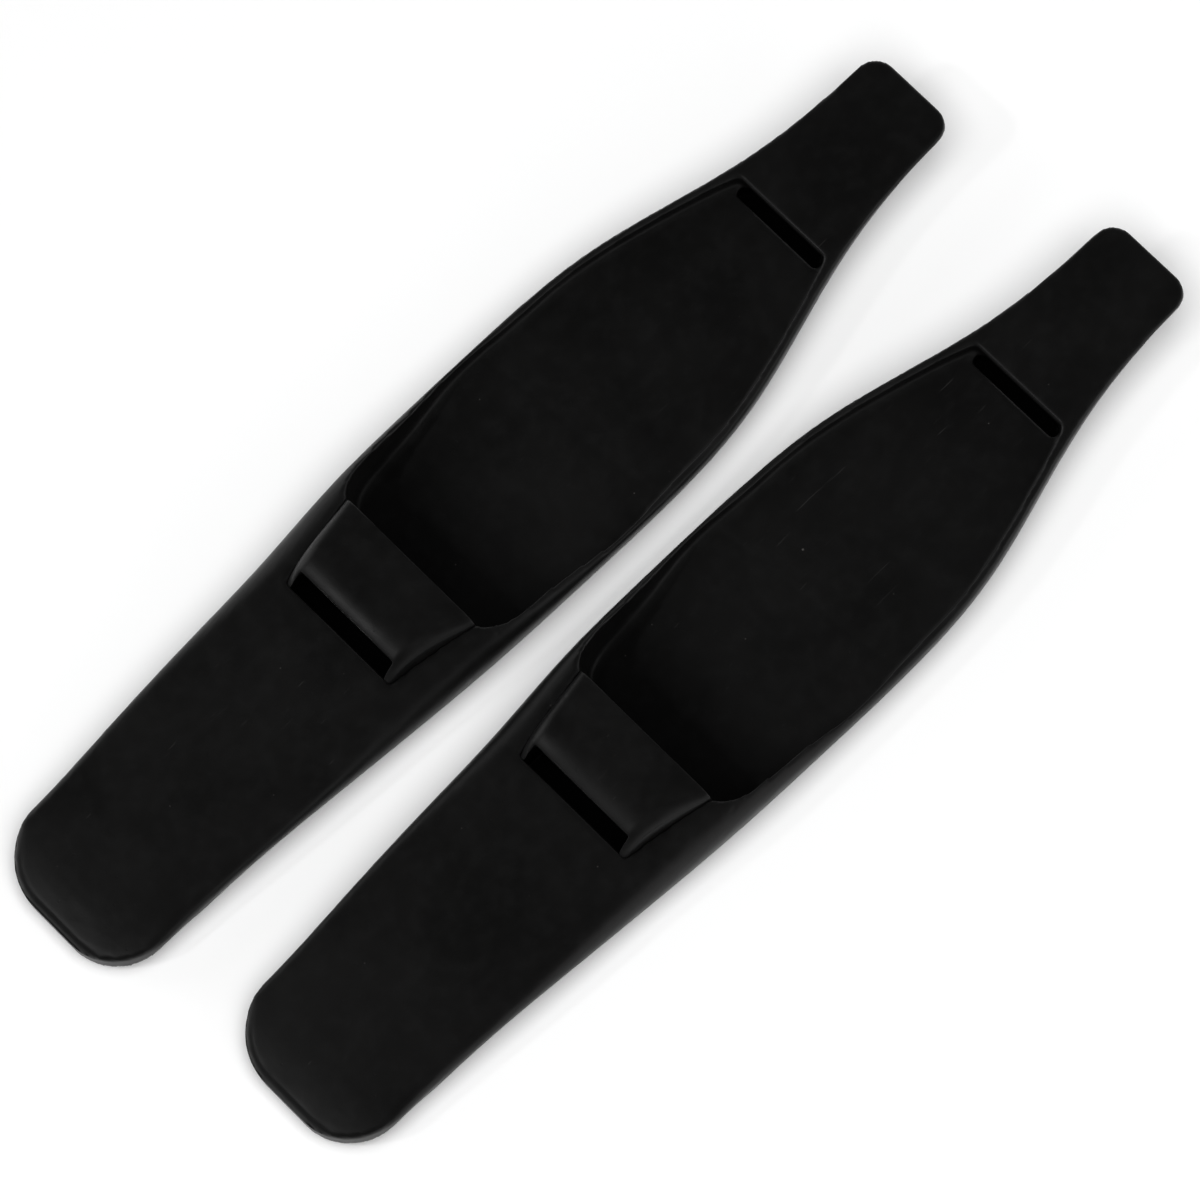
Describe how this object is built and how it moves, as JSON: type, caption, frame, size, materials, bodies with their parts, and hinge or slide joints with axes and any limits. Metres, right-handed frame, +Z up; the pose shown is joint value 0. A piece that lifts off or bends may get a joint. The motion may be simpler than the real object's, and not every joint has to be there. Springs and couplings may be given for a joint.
{
  "type": "skate blade guards",
  "caption": "Pair of black moulded rubber guards, each a long shell with a tray, a strap bridge at the tray's wide end and flat tongues at both ends.",
  "frame": {"origin": "centre of the pair's footprint, on the surface that it lies on", "axes": "+X from the tails to the tips, +Y from guard b to guard a, +Z up out of the trays"},
  "size_m": [0.2806, 0.1274, 0.0206],
  "materials": {
    "rubber_shell": "satin black moulded rubber",
    "rubber_bridge": "satin black moulded rubber, a little smoother"
  },
  "bodies": {
    "guard_a": {"guard_a_shell": "rubber_shell", "guard_a_bridge": "rubber_bridge"},
    "guard_b": {"guard_b_shell": "rubber_shell", "guard_b_bridge": "rubber_bridge"}
  },
  "joints": [
    {"name": "guard_b_apart", "type": "slide", "parent": "guard_a", "child": "guard_b", "axis": [0, -1, 0], "range_m": [0, 0.08]}
  ]
}
